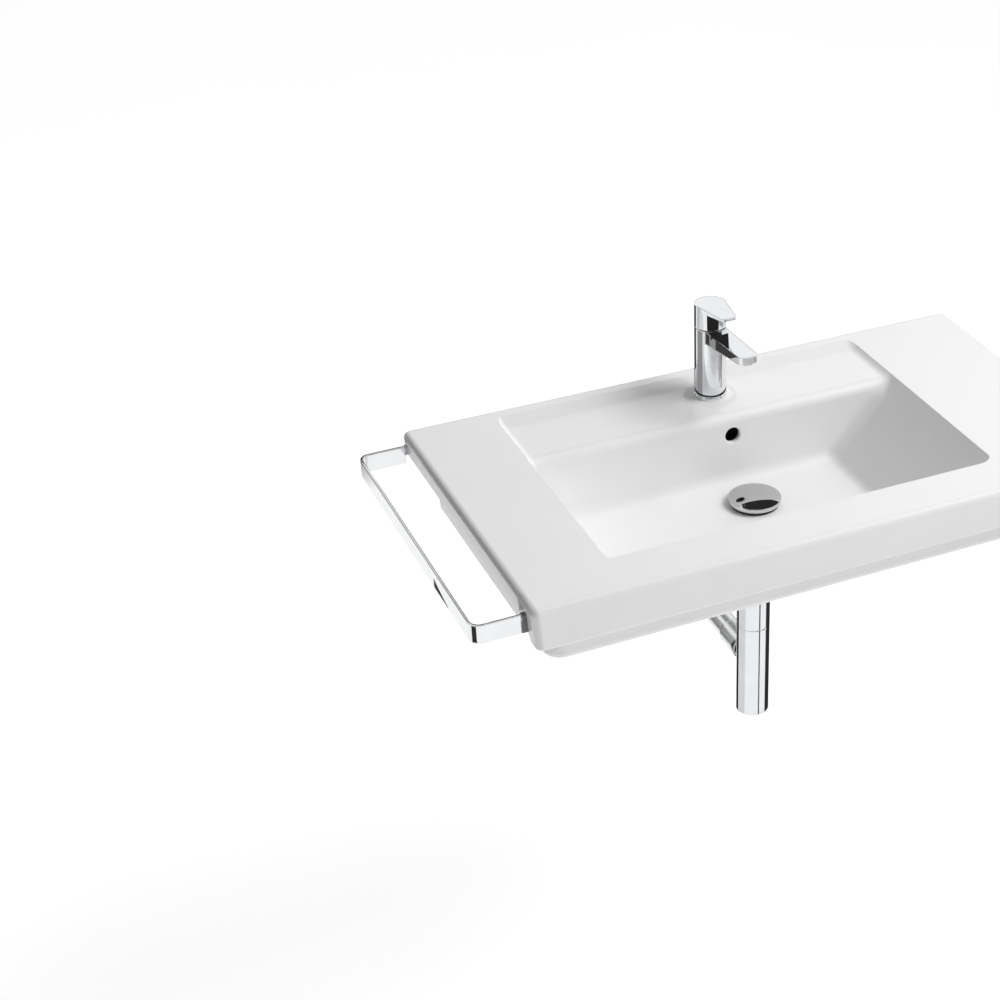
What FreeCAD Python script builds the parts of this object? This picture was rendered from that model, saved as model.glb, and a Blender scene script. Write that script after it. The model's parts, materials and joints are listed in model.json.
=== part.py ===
import FreeCAD, Part
import math
import os
import re
import Sketcher
from FreeCAD import Placement, Rotation, Vector

# Driving sizes of the washbasin, in millimetres and degrees
table = {
    # Clearances
    "slip": 0.1,
    "play": 0.3,
    "running": 0.05,
    # Basin outline, measured from the drain axis, the wall and the rim
    "rim_height": 62.0,
    "basin_left": 404.0,
    "basin_right": 404.0,
    "basin_depth": 460.0,
    "apron_height": 56.0,
    "side_taper": 4.5,
    "front_corner": 9.0,
    "rear_corner": 10.0,
    "rim_round": 8.0,
    "apron_round": 5.0,
    "apron_thickness": 22.0,
    "side_height": 42.0,
    "side_step_round": 8.0,
    "rear_skirt_length": 136.0,
    "rear_skirt_height": 29.0,
    "skirt_inset": 34.5,
    "skirt_setback": 50.0,
    "skirt_drop": 115.0,
    "skirt_corner": 26.0,
    "skirt_round": 12.0,
    "skirt_wall": 12.0,
    "back_panel": 14.0,
    "deck_thickness": 20.0,
    # Wash zone and bowl
    "wash_drop": 5.0,
    "rear_lip": 21.0,
    "lip_run": 22.0,
    "lip_round": 60.0,
    "bowl_left": 285.0,
    "bowl_right": 240.0,
    "bowl_back": 140.0,
    "bowl_front": 393.0,
    "bowl_depth": 102.0,
    "bowl_left_run": 14.0,
    "bowl_right_run": 95.0,
    "bowl_back_run": 6.0,
    "bowl_front_run": 20.0,
    "floor_round": 30.0,
    "back_floor_round": 19.0,
    "brow_round": 13.0,
    "left_round": 10.0,
    "right_round": 18.0,
    "shell": 10.0,
    "tool_over": 40.0,
    "tool_under": 20.0,
    # Drain boss and overflow passage
    "drain_from_wall": 206.5,
    "drain_hole": 23.0,
    "drain_boss": 39.0,
    "drain_boss_height": 36.0,
    "overflow_drop": 34.0,
    "overflow_radius": 10.4,
    "overflow_rim": 2.0,
    "passage_width": 24.0,
    "passage_front": 7.0,
    "passage_depth": 15.0,
    "passage_height": 11.0,
    "passage_wall": 8.0,
    # Wall fixing
    "fixing_spacing": 280.0,
    "fixing_hole": 9.0,
    "bush_bore": 5.5,
    "bush_flange_radius": 14.0,
    "bush_flange": 3.0,
    # Tap body and spout
    "tap_from_wall": 73.5,
    "tap_hole": 17.5,
    "tap_radius": 21.2,
    "tap_cavity": 17.2,
    "tap_bore": 18.4,
    "tap_body_height": 96.5,
    "cartridge_seat": 54.8,
    "tap_web": 12.0,
    "base_ring_radius": 22.0,
    "base_ring_height": 4.5,
    "base_ring_bevel": 1.2,
    "base_seal_in": 18.2,
    "base_seal_out": 20.0,
    "base_seal_height": 2.0,
    "spout_root_half": 15.0,
    "spout_tip_half": 13.0,
    "spout_start": 12.0,
    "spout_reach": 116.0,
    "spout_root": 18.0,
    "spout_tip": 9.5,
    "spout_rise": 6.5,
    "spout_tip_round": 9.0,
    "channel_radius": 2.4,
    "channel_rise": 0.6,
    "channel_tilt": 4.0,
    "aerator_reach": 103.0,
    "aerator_bore": 10.6,
    "mouth_rise": 2.5,
    "mouth_chamber": 2.6,
    "aerator_height": 5.0,
    "aerator_wall": 2.2,
    "aerator_lip": 1.2,
    "aerator_washer_height": 1.2,
    "aerator_washer_in": 7.0,
    "jet_radius": 1.1,
    "jet_circle": 4.6,
    # Tap clamp under the deck
    "stud_radius": 4.0,
    "stud_front": 10.0,
    "stud_entry": 8.0,
    "stud_below": 24.0,
    "clamp_radius": 25.0,
    "clamp_gasket_height": 3.0,
    "clamp_plate_height": 3.0,
    "clamp_opening": 28.0,
    "clamp_opening_front": 3.0,
    "clamp_nut_circle": 7.5,
    "clamp_nut_height": 6.5,
    # Mixing cartridge
    "cartridge_radius": 17.3,
    "cartridge_base_height": 6.0,
    "port_radius": 3.2,
    "port_side": 8.0,
    "port_back": 4.0,
    "outlet_front": 9.0,
    "port_seal_width": 1.7,
    "port_seal_height": 1.6,
    "disc_radius": 14.0,
    "disc_height": 4.0,
    "moving_radius": 11.0,
    "mixing_radius": 6.0,
    "mixing_depth": 2.0,
    "disc_travel": 5.1,
    "carrier_height": 7.0,
    "carrier_floor": 1.0,
    "peg_slot": 9.2,
    "housing_bore": 15.5,
    "housing_height": 26.0,
    "housing_lip": 3.0,
    "guide_neck": 13.0,
    "guide_neck_height": 11.0,
    "guide_slot_front": 8.5,
    "guide_slot_rear": 6.8,
    "pivot_height": 34.0,
    "pivot_back": 5.0,
    "pin_radius": 2.0,
    "pin_length": 21.0,
    "spindle_width": 8.0,
    "spindle_thickness": 7.0,
    "spindle_above": 28.0,
    "spindle_below": 7.0,
    "peg_width": 6.0,
    "peg_below": 16.5,
    "cartridge_nut_height": 7.0,
    # Lever
    "seam_gap": 1.3,
    "handle_height": 30.5,
    "handle_roof": 8.0,
    "handle_bore": 18.2,
    "rear_bevel_angle": 23.0,
    "lever_root_half": 20.4,
    "lever_tip_half": 10.0,
    "lever_reach": 57.0,
    "lever_root": 7.0,
    "lever_tip": 4.0,
    "lever_rise": 3.0,
    "lever_tip_round": 5.0,
    "socket_width": 14.0,
    "socket_thickness": 13.0,
    "socket_lift": 6.0,
    "grub_radius": 2.5,
    "grub_length": 6.0,
    "grub_lift": 18.0,
    "cap_radius": 3.2,
    # Push waste
    "waste_radius": 20.9,
    "waste_bore": 17.5,
    "waste_tail": 70.0,
    "flange_radius": 29.0,
    "flange_height": 2.0,
    "flange_seal_in": 24.0,
    "flange_seal_out": 31.6,
    "flange_seal_height": 1.0,
    "slot_width": 10.0,
    "lower_seal_height": 6.0,
    "lower_seal_small": 28.0,
    "lower_seal_large": 34.0,
    "waste_nut_circle": 31.0,
    "waste_nut_height": 9.0,
    "guide_drop": 60.0,
    "guide_height": 14.0,
    "guide_hub": 7.5,
    "guide_ring_wall": 2.5,
    "spoke_width": 3.0,
    "stem_radius": 4.0,
    "stem_tail": 2.0,
    "collar_radius": 8.5,
    "collar_height": 2.0,
    "collar_drop": 16.0,
    "cover_radius": 34.5,
    "cover_skirt": 2.5,
    "cover_gap": 5.0,
    "cover_edge": 4.8,
    "cover_crown": 3.4,
    "cover_ceiling": 3.6,
    "cover_seal_in": 25.0,
    "cover_seal_out": 30.5,
    "cover_seal_height": 1.2,
    "spring_radius": 6.0,
    "spring_wire": 0.6,
    "spring_turns": 6.0,
    # Bottle trap, its seam measured from the rim and the rest from the seam
    "trap_radius": 22.4,
    "trap_bore": 20.0,
    "trap_seam_drop": 290.0,
    "trap_length": 143.0,
    "trap_foot": 3.0,
    "trap_floor": 8.0,
    "seam_bevel": 0.7,
    "spigot_radius": 19.4,
    "spigot_height": 12.0,
    "neck_bore": 17.0,
    "neck_depth": 12.0,
    "neck_seal_lift": 3.0,
    "neck_seal_height": 6.0,
    "inlet_nut_radius": 24.0,
    "inlet_nut_height": 20.0,
    "nut_lip": 3.0,
    "inlet_seal_height": 2.0,
    "dip_radius": 16.0,
    "dip_bore": 14.6,
    "dip_flange": 20.6,
    "dip_flange_height": 2.0,
    "dip_clearance": 40.0,
    "plug_radius": 14.0,
    "plug_head": 3.0,
    "plug_thread": 12.0,
    "plug_over": 3.0,
    "plug_seal_height": 1.0,
    "coin_slot_width": 2.4,
    "coin_slot_depth": 1.5,
    # Outlet arm
    "arm_below_seam": 55.0,
    "branch_radius": 17.3,
    "branch_gap": 0.5,
    "outlet_nut_radius": 18.8,
    "outlet_nut_length": 43.0,
    "outlet_nut_bevel": 2.0,
    "outlet_seal_length": 4.0,
    "pipe_radius": 16.0,
    "pipe_bore": 14.6,
    "pipe_entry": 26.0,
    "wall_insert": 35.0,
    "spigot_start": 1.0,
    "spigot_step": 0.3,
    "rosette_radius": 32.0,
    "rosette_depth": 9.0,
    "rosette_edge": 2.5,
    "rosette_collar": 3.0,
    # Towel rail
    "pad_reach": 3.5,
    "rear_pad_reach": 0.8,
    "rail_leg": 59.5,
    "rail_front": 435.0,
    "rail_rear": 12.0,
    "rail_drop": 16.0,
    "rail_height": 25.0,
    "rail_thickness": 3.2,
    "rail_corner": 14.0,
    "rail_edge": 0.8,
    "pad_width": 8.0,
    "pad_round": 3.5,
    "rail_stud_radius": 3.0,
    "rail_stud_length": 28.0,
    "rail_stud_drop": 6.0,
    "rail_plug_radius": 4.6,
    "rail_plug_inset": 2.0,
    "rail_plug_length": 18.0,
}

doc = FreeCAD.newDocument("washbasin")
sizes = doc.addObject("Spreadsheet::Sheet", "Sizes")
for row, (alias, value) in enumerate(table.items(), start=1):
    sizes.set(f"A{row}", alias)
    sizes.set(f"B{row}", str(value))
    sizes.setAlias(f"B{row}", alias)
doc.recompute()

upright = Rotation()
along_x = Rotation(Vector(0, 1, 0), 90)
along_y = Rotation(Vector(1, 0, 0), -90)
forward = Rotation(Vector(0, 0, 1), 180)
standing = Rotation(Vector(1, 0, 0), 90)
reach = 0.01

# Places that several pieces share
tap_y = "-tap_from_wall"
deck = "rim_height - wash_drop"
tap_base = deck + " + base_ring_height"
tap_top = tap_base + " + tap_body_height"
cartridge = tap_base + " + cartridge_seat"
pivot_y = "pivot_back - tap_from_wall"
pivot_z = cartridge + " + pivot_height"
drain_y = "-drain_from_wall"
bowl_floor = "rim_height - bowl_depth"
boss_bottom = bowl_floor + " - drain_boss_height"
tail_bottom = bowl_floor + " - waste_tail"
nut_bottom = tail_bottom + " - inlet_seal_height - dip_flange_height - nut_lip"
seam = "rim_height - trap_seam_drop"
trap_bottom = seam + " - trap_length"
arm_z = seam + " - arm_below_seam"
nut_start = "trap_radius + branch_gap - drain_from_wall"
branch_end = "trap_radius + branch_gap + outlet_nut_length - nut_lip - outlet_seal_length"
rail_mid = "rim_height - rail_drop - rail_stud_drop"
rail_end = "-basin_left - pad_reach"
rail_rear_end = "-basin_left - rear_pad_reach"
rail_out = rail_end + " - rail_leg"
cover_bottom = bowl_floor + " + cover_gap"


def formula(text):
    """Formula of sizes as the sheet's own expression."""
    return re.sub(r"\b(?!sin\b|cos\b)[a-z][a-z_]*", lambda word: "Sizes." + word.group(), text)


def number(text):
    """Value of a formula of sizes."""
    return float(sizes.evalExpression(formula(text)))


def bind(thing, **formulas):
    """Properties of a document object that follow formulas of sizes."""
    for name, text in formulas.items():
        thing.setExpression(name, formula(text))


def put(thing, x="0", y="0", z="0", turn=upright):
    """Placement of a document object, with its position bound to sizes."""
    thing.Placement = Placement(Vector(), turn)
    for axis, text in zip("xyz", (x, y, z)):
        thing.setExpression("Placement.Base." + axis, formula(text))
    return thing


def hold(sketch, kind, point, text):
    """One coordinate of an outline's corner, bound to a formula."""
    if text == "0":
        axis = -2 if kind == "DistanceX" else -1
        sketch.addConstraint(Sketcher.Constraint("PointOnObject", point, 1, axis))
        return
    index = sketch.addConstraint(Sketcher.Constraint(kind, -1, 1, point, 1, number(text)))
    sketch.setExpression(f"Constraints[{index}]", formula(text))


def draw(sketch, corners):
    """Closed outline through corners that are given as pairs of formulas."""
    spots = [Vector(number(across), number(up), 0) for across, up in corners]
    count = len(spots)
    for index in range(count):
        sketch.addGeometry(Part.LineSegment(spots[index], spots[(index + 1) % count]), False)
    for index in range(count):
        sketch.addConstraint(Sketcher.Constraint("Coincident", index, 2, (index + 1) % count, 1))
    for index, (across, up) in enumerate(corners):
        hold(sketch, "DistanceX", index, across)
        hold(sketch, "DistanceY", index, up)


def turned(name, corners, x="0", y="0", z="0", turn=upright):
    """Piece turned about its own axis from an outline of radii and heights."""
    body = doc.addObject("PartDesign::Body", name)
    plane = next(item for item in body.Origin.OriginFeatures if item.Role == "XZ_Plane")
    sketch = body.newObject("Sketcher::SketchObject", name + "_outline")
    sketch.AttachmentSupport = (plane, [""])
    sketch.MapMode = "FlatFace"
    draw(sketch, corners)
    spin = body.newObject("PartDesign::Revolution", name + "_turn")
    spin.Profile = sketch
    spin.ReferenceAxis = (sketch, ["V_Axis"])
    spin.Angle = 360
    return put(body, x, y, z, turn)


def ring(name, inner, outer, height, x="0", y="0", z="0", turn=upright):
    """Plain ring, such as a washer or a sleeve."""
    corners = [(inner, "0"), (outer, "0"), (outer, height), (inner, height)]
    return turned(name, corners, x, y, z, turn)


def rod(name, radius, length, x="0", y="0", z="0", turn=upright):
    """Plain round bar, or the tool for a round hole."""
    thing = doc.addObject("Part::Cylinder", name)
    bind(thing, Radius=radius, Height=length)
    return put(thing, x, y, z, turn)


def block(name, width, depth, height, x="0", y="0", z="0", turn=upright):
    """Box with its lowest corner at the given place."""
    thing = doc.addObject("Part::Box", name)
    bind(thing, Length=width, Width=depth, Height=height)
    return put(thing, x, y, z, turn)


def join(name, *parts):
    """One solid of several."""
    thing = doc.addObject("Part::MultiFuse", name)
    thing.Shapes = list(parts)
    thing.Refine = True
    return thing


def cut(name, base, *tools):
    """Solid with every tool taken away from it."""
    thing = doc.addObject("Part::Cut", name)
    thing.Base = base
    thing.Tool = tools[0] if len(tools) == 1 else join(name + "_tools", *tools)
    thing.Refine = True
    return thing


def group(name, *parts):
    """Like pieces that share one node."""
    thing = doc.addObject("Part::Compound", name)
    thing.Links = list(parts)
    return thing


def edges_where(shape, test):
    """Numbers of the edges whose start, middle and end all pass a test."""
    found = []
    for index, edge in enumerate(shape.Edges, start=1):
        low, high = edge.ParameterRange
        spots = [edge.valueAt(value) for value in (low, (low + high) / 2, high)]
        if all(test(spot) for spot in spots):
            found.append(index)
    return found


def nowhere(spot):
    """Test that no point passes."""
    return False


def rounded(name, base, *rounds, sharp=nowhere):
    """Solid with edges rounded: each round is a test on points and the formula of a radius."""
    doc.recompute()
    edges = []
    kept = edges_where(base.Shape, sharp)
    for test, radius in rounds:
        size = number(radius)
        edges += [(index, size, size) for index in edges_where(base.Shape, test) if index not in kept]
    thing = doc.addObject("Part::Fillet", name)
    thing.Base = base
    thing.Edges = edges
    doc.recompute()
    return thing


def at(**places):
    """Test for points that lie at the given coordinates."""
    values = {axis: number(text) for axis, text in places.items()}
    return lambda spot: all(abs(getattr(spot, axis) - value) < reach for axis, value in values.items())


def prism(name, corners, length, x, y, z, turn):
    """Outline pushed straight out from its own plane."""
    sketch = doc.addObject("Sketcher::SketchObject", name + "_outline")
    draw(sketch, corners)
    put(sketch, x, y, z, turn)
    thing = doc.addObject("Part::Extrusion", name)
    thing.Base = sketch
    thing.DirMode = "Normal"
    thing.Solid = True
    bind(thing, LengthFwd=length)
    return thing


def common(name, *parts):
    """Space that all the parts share."""
    thing = doc.addObject("Part::MultiCommon", name)
    thing.Shapes = list(parts)
    return thing


# Outline planes: across the basin from the wall forward, and along it from the left end
from_wall = Rotation(Vector(0, -1, 0), Vector(0, 0, -1), Vector(1, 0, 0), "ZXY")
from_left = Rotation(Vector(1, 0, 0), Vector(0, 0, -1), Vector(0, 1, 0), "ZXY")


def bowl_walls(name, grow):
    """Space between the bowl's left and right walls, grown outwards."""
    over = "tool_over / bowl_depth"
    under = "(bowl_depth + tool_under) / bowl_depth"
    foot = "tool_over + bowl_depth + tool_under"
    left = f"basin_left - bowl_left - {grow}"
    right = f"basin_left + bowl_right + {grow}"
    corners = [
        (f"{left} - bowl_left_run * {over}", "0"),
        (f"{left} + bowl_left_run * {under}", foot),
        (f"{right} - bowl_right_run * {under}", foot),
        (f"{right} + bowl_right_run * {over}", "0"),
    ]
    return prism(name, corners, "basin_depth", "-basin_left", "-basin_depth", "rim_height + tool_over", from_left)


def on_left_wall(spot):
    """Point on the bowl's left wall."""
    run = number("bowl_left_run / bowl_depth")
    return abs(spot.x - (run * (number("rim_height") - spot.z) - number("bowl_left"))) < reach


def on_right_wall(spot):
    """Point on the bowl's right wall."""
    run = number("bowl_right_run / bowl_depth")
    return abs(spot.x - (number("bowl_right") - run * (number("rim_height") - spot.z))) < reach


def wash_space():
    """Hollow of the wash zone: rear lip, tap deck, back wall, floor and front wall between two sides."""
    deck_level = "tool_over + wash_drop"
    floor_level = "tool_over + bowl_depth"
    lip_foot = "rear_lip + lip_run"
    corners = [
        (f"{lip_foot} - lip_run * ({deck_level}) / wash_drop", "0"),
        (lip_foot, deck_level),
        ("bowl_back", deck_level),
        ("bowl_back + bowl_back_run", floor_level),
        ("bowl_front - bowl_front_run", floor_level),
        ("bowl_front + bowl_front_run * tool_over / bowl_depth", "0"),
    ]
    length = "basin_left + basin_right"
    run = prism("wash_run", corners, length, "-basin_left", "0", "rim_height + tool_over", from_wall)
    soft = rounded(
        "wash_run_soft",
        run,
        (at(y="-rear_lip - lip_run", z=deck), "lip_round"),
        (at(y="-bowl_back", z=deck), "brow_round"),
        (at(y="-bowl_back - bowl_back_run", z=bowl_floor), "back_floor_round"),
        (at(y="bowl_front_run - bowl_front", z=bowl_floor), "floor_round"),
    )
    space = common("wash_space", soft, bowl_walls("wash_sides", "0"))
    top = at(z="rim_height + tool_over")
    return rounded("wash_hollow", space, (on_left_wall, "left_round"), (on_right_wall, "right_round"), sharp=top)


def bowl_shell():
    """Underside of the bowl, one shell thickness outside its hollow."""
    floor_level = "tool_over + bowl_depth + shell"
    corners = [
        ("bowl_back - shell", "tool_over + wash_drop + shell"),
        ("bowl_back + bowl_back_run - shell", floor_level),
        ("bowl_front - bowl_front_run + shell", floor_level),
        ("bowl_front + shell", "tool_over + wash_drop + shell"),
    ]
    length = "basin_left + basin_right"
    run = prism("shell_run", corners, length, "-basin_left", "0", "rim_height + tool_over", from_wall)
    under = bowl_floor + " - shell"
    soft = rounded(
        "shell_run_soft",
        run,
        (at(y="shell - bowl_back - bowl_back_run", z=under), "floor_round"),
        (at(y="bowl_front_run - bowl_front - shell", z=under), "floor_round"),
    )
    return common("bowl_shell", soft, bowl_walls("shell_sides", "shell"))


def slab():
    """Top slab with its apron: sides lean in below, corners and edges are soft."""
    raw = doc.addObject("Part::Wedge", "slab_raw")
    bind(
        raw,
        Xmin="side_taper - basin_left",
        Xmax="basin_right - side_taper",
        X2min="-basin_left",
        X2max="basin_right",
        Ymin="-apron_height",
        Ymax="0",
        Zmin="0",
        Zmax="basin_depth",
        Z2min="0",
        Z2max="basin_depth",
    )
    put(raw, z="rim_height", turn=standing)
    ends = (number("-basin_left"), number("basin_right"))
    taper = number("side_taper / apron_height")

    def corner_at(depth):
        far = number(depth)

        def test(spot):
            lean = taper * (number("rim_height") - spot.z)
            beside = min(abs(spot.x - ends[0] - lean), abs(spot.x - ends[1] + lean))
            return abs(spot.y - far) < reach and beside < reach

        return test

    front = (corner_at("-basin_depth"), "front_corner")
    rear = (corner_at("0"), "rear_corner")
    corners = rounded("slab_corners", raw, front, rear)
    top = (at(z="rim_height"), "rim_round")
    bottom = (at(z="rim_height - apron_height"), "apron_round")
    return rounded("slab", corners, top, bottom)


def lower_skirt():
    """Skirt below the apron, set back from the front and in from the sides."""
    length = "basin_left + basin_right - 2 * skirt_inset"
    depth = "basin_depth - skirt_setback"
    raw = block(
        "skirt_raw",
        length,
        depth,
        "skirt_drop - deck_thickness",
        "skirt_inset - basin_left",
        "skirt_setback - basin_depth",
        "rim_height - skirt_drop",
    )
    left = at(x="skirt_inset - basin_left", y="skirt_setback - basin_depth")
    right = at(x="basin_right - skirt_inset", y="skirt_setback - basin_depth")
    corners = rounded("skirt_corners", raw, (left, "skirt_corner"), (right, "skirt_corner"))
    return rounded("skirt", corners, (at(z="rim_height - skirt_drop"), "skirt_round"), sharp=at(y="0"))


def skirt_cavity():
    """Open space under the deck, inside the skirt and the back panel."""
    raw = block(
        "cavity_raw",
        "basin_left + basin_right - 2 * skirt_inset - 2 * skirt_wall",
        "basin_depth - skirt_setback - skirt_wall - back_panel",
        "skirt_drop + tool_under - deck_thickness",
        "skirt_inset + skirt_wall - basin_left",
        "skirt_setback + skirt_wall - basin_depth",
        "rim_height - skirt_drop - tool_under",
    )
    near = "skirt_setback + skirt_wall - basin_depth"
    left = at(x="skirt_inset + skirt_wall - basin_left", y=near)
    right = at(x="basin_right - skirt_inset - skirt_wall", y=near)
    inner = "skirt_corner - skirt_wall"
    return rounded("cavity", raw, (left, inner), (right, inner))


def rear_steps():
    """Sides are shallower beside the wall: apron, skirt and panel corner taken away there at each end."""
    height = "skirt_drop + tool_under - rear_skirt_height"
    low = "rim_height - skirt_drop - tool_under"
    notch = "skirt_inset + skirt_wall"
    left = block("step_left", notch, "rear_skirt_length", height, "-basin_left", "-rear_skirt_length", low)
    x = f"basin_right - {notch}"
    right = block("step_right", notch, "rear_skirt_length", height, x, "-rear_skirt_length", low)
    return left, right


def side_steps():
    """Ends are shallower than the apron: the slab's underside taken away beside the skirt, behind the apron."""
    depth = "basin_depth - apron_thickness - rear_skirt_length / 2"
    front = "apron_thickness - basin_depth"
    height = "apron_height - side_height + tool_under"
    low = "rim_height - apron_height - tool_under"
    steps = []
    for end, x in (("left", "-basin_left"), ("right", "basin_right - skirt_inset")):
        raw = block(f"side_step_raw_{end}", "skirt_inset", depth, height, x, front, low)
        inner = at(y=front, z="rim_height - side_height")
        steps.append(rounded(f"side_step_{end}", raw, (inner, "side_step_round")))
    return steps


def rail_y(end):
    """Middle of a rail leg, at the front or the rear end."""
    if end == "front":
        return "rail_thickness / 2 - rail_front"
    return "-rail_rear - rail_thickness / 2"


def on_overflow_rim(spot):
    """Point on the overflow hole's edge in the bowl's back wall."""
    out = math.hypot(spot.x, spot.z - number("rim_height - overflow_drop"))
    return abs(out - number("overflow_radius")) < reach and spot.y < number("passage_front / 2 - bowl_back")


def basin(top_slab):
    """Glazed basin: slab, skirt, bowl shell, drain boss and overflow passage, with every hole."""
    case = cut("case", join("case_full", top_slab, lower_skirt()), skirt_cavity())
    boss = rod("boss", "drain_boss", "drain_boss_height - shell / 2", "0", drain_y, boss_bottom)
    wide = "passage_width + 2 * passage_wall"
    side = "-passage_width / 2 - passage_wall"
    tower = block(
        "passage_tower",
        wide,
        "passage_front + passage_depth + 2 * passage_wall",
        "bowl_depth + drain_boss_height - deck_thickness / 2",
        side,
        "-passage_wall - bowl_back",
        boss_bottom,
    )
    bridge = block(
        "passage_bridge",
        wide,
        "drain_from_wall - bowl_back + passage_front + passage_depth",
        "drain_boss_height - shell / 2",
        side,
        drain_y,
        boss_bottom,
    )
    full = join("basin_full", case, bowl_shell(), boss, tower, bridge)
    drain = rod("drain_hole_tool", "drain_hole", "bowl_depth + drain_boss_height", "0", drain_y, boss_bottom)
    tap = rod("tap_hole_tool", "tap_hole", "2 * deck_thickness", "0", tap_y, "rim_height - 2 * deck_thickness")
    hole = rod(
        "overflow_tool",
        "overflow_radius",
        "bowl_back_run + passage_front + passage_depth",
        "0",
        "-bowl_back - bowl_back_run",
        "rim_height - overflow_drop",
        along_y,
    )
    half = "-passage_width / 2"
    low = boss_bottom + " + passage_wall"
    fall = block(
        "passage_fall",
        "passage_width",
        "passage_depth",
        "bowl_depth + drain_boss_height - passage_wall - overflow_drop + overflow_radius",
        half,
        "passage_front - bowl_back",
        low,
    )
    flow = block(
        "passage_flow",
        "passage_width",
        "drain_from_wall - bowl_back + passage_front + passage_depth",
        "passage_height",
        half,
        drain_y,
        low,
    )
    fixings = []
    for side_name, sign in (("left", "-"), ("right", "")):
        x = f"{sign}fixing_spacing / 2"
        name = f"fixing_tool_{side_name}"
        fixings.append(rod(name, "fixing_hole", "2 * back_panel", x, "-2 * back_panel", "0", along_y))
    rails = []
    for end in ("front", "rear"):
        length = "side_taper + rail_plug_inset + rail_plug_length"
        name = f"rail_tool_{end}"
        rails.append(rod(name, "rail_plug_radius", length, "-basin_left", rail_y(end), rail_mid, along_x))
    steps = side_steps() + list(rear_steps())
    tools = [wash_space(), drain, tap, hole, fall, flow] + fixings + rails + steps
    pierced = cut("basin_pierced", full, *tools)
    return rounded("basin", pierced, (on_overflow_rim, "overflow_rim"))


def fixing_bushes():
    """Flanged bushes that line the two wall fixing holes."""
    body = "fixing_hole - slip"
    end = "bush_flange + back_panel"
    corners = [
        ("bush_bore", "0"),
        ("bush_flange_radius", "0"),
        ("bush_flange_radius", "bush_flange"),
        (body, "bush_flange"),
        (body, end),
        ("bush_bore", end),
    ]
    y = "-back_panel - bush_flange"
    left = turned("bush_left", corners, "-fixing_spacing / 2", y, "0", along_y)
    right = turned("bush_right", corners, "fixing_spacing / 2", y, "0", along_y)
    return group("fixing_bushes", left, right)


def tap_base_pieces():
    """Seal and chrome ring that the tap stands on."""
    seal = ring("tap_base_seal", "base_seal_in", "base_seal_out", "base_seal_height", "0", tap_y, deck)
    groove = "base_seal_out + slip"
    corners = [
        (groove, "0"),
        ("base_ring_radius", "0"),
        ("base_ring_radius", "base_ring_height - base_ring_bevel"),
        ("base_ring_radius - base_ring_bevel", "base_ring_height"),
        ("tap_cavity", "base_ring_height"),
        ("tap_cavity", "base_seal_height"),
        (groove, "base_seal_height"),
    ]
    return seal, turned("tap_base_ring", corners, "0", tap_y, deck)


def tap_body():
    """Tap column with its web, inlets, outlet passage and the flat spout."""
    height = "tap_body_height"
    web_low = "cartridge_seat - tap_web"
    corners = [
        ("tap_cavity", "0"),
        ("tap_radius", "0"),
        ("tap_radius", height),
        ("tap_bore", height),
        ("tap_bore", "cartridge_seat"),
        ("0", "cartridge_seat"),
        ("0", web_low),
        ("tap_cavity", web_low),
    ]
    column = turned("tap_column", corners, "0", tap_y, tap_base)
    raw = doc.addObject("Part::Wedge", "spout_raw")
    bind(
        raw,
        Xmin="-spout_root_half",
        Xmax="spout_root_half",
        X2min="-spout_tip_half",
        X2max="spout_tip_half",
        Ymin="spout_start",
        Ymax="spout_reach",
        Zmin="tap_body_height - spout_root",
        Zmax="tap_body_height",
        Z2min="tap_body_height + spout_rise - spout_tip",
        Z2max="tap_body_height + spout_rise",
    )
    put(raw, "0", tap_y, tap_base, forward)
    tip = at(y="-tap_from_wall - spout_reach")
    doc.recompute()
    half = number("spout_tip_half")
    beside = lambda spot: tip(spot) and abs(abs(spot.x) - half) < reach
    spout = rounded("spout_plan", raw, (beside, "spout_tip_round"))
    full = join("tap_full", column, spout)
    bore = rod("tap_bore_tool", "tap_bore", "tap_body_height", "0", tap_y, cartridge)
    channel = rod(
        "spout_channel",
        "channel_radius",
        "aerator_reach - spout_start",
        "0",
        "-tap_from_wall - aerator_reach",
        tap_top + " + channel_rise",
        Rotation(Vector(1, 0, 0), -90 - number("channel_tilt")),
    )
    mouth_top = tap_top + " + mouth_rise"
    mouth = rod(
        "aerator_tool",
        "aerator_bore",
        "spout_root",
        "0",
        "-tap_from_wall - aerator_reach",
        mouth_top + " - spout_root",
    )
    tools = [bore, channel, mouth]
    for side, sign in (("cold", ""), ("hot", "-")):
        x = f"{sign}port_side"
        y = "port_back - tap_from_wall"
        tools.append(rod(f"{side}_inlet_tool", "stud_radius", "tap_web", x, y, cartridge + " - tap_web"))
    stud_y = "-tap_from_wall - stud_front"
    tools.append(rod("stud_tool", "stud_radius + slip", "stud_entry", "0", stud_y, cartridge + " - tap_web"))
    groove = block(
        "outlet_groove",
        "2 * port_radius",
        "tap_bore - outlet_front + port_radius",
        "port_radius",
        "-port_radius",
        "-tap_from_wall - tap_bore",
        cartridge + " - port_radius",
    )
    return cut("tap_body", full, *tools, groove)


def horseshoe(name, height, z):
    """Clamp disc, open to the rear for the supply lines and bored for the stud."""
    disc = rod(name + "_disc", "clamp_radius", height, "0", tap_y, z)
    opening = block(
        name + "_opening",
        "clamp_opening",
        "2 * clamp_radius",
        height,
        "-clamp_opening / 2",
        "-tap_from_wall - clamp_opening_front",
        z,
    )
    hole = rod(name + "_hole", "stud_radius + play", height, "0", "-tap_from_wall - stud_front", z)
    return cut(name, disc, opening, hole)


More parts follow.
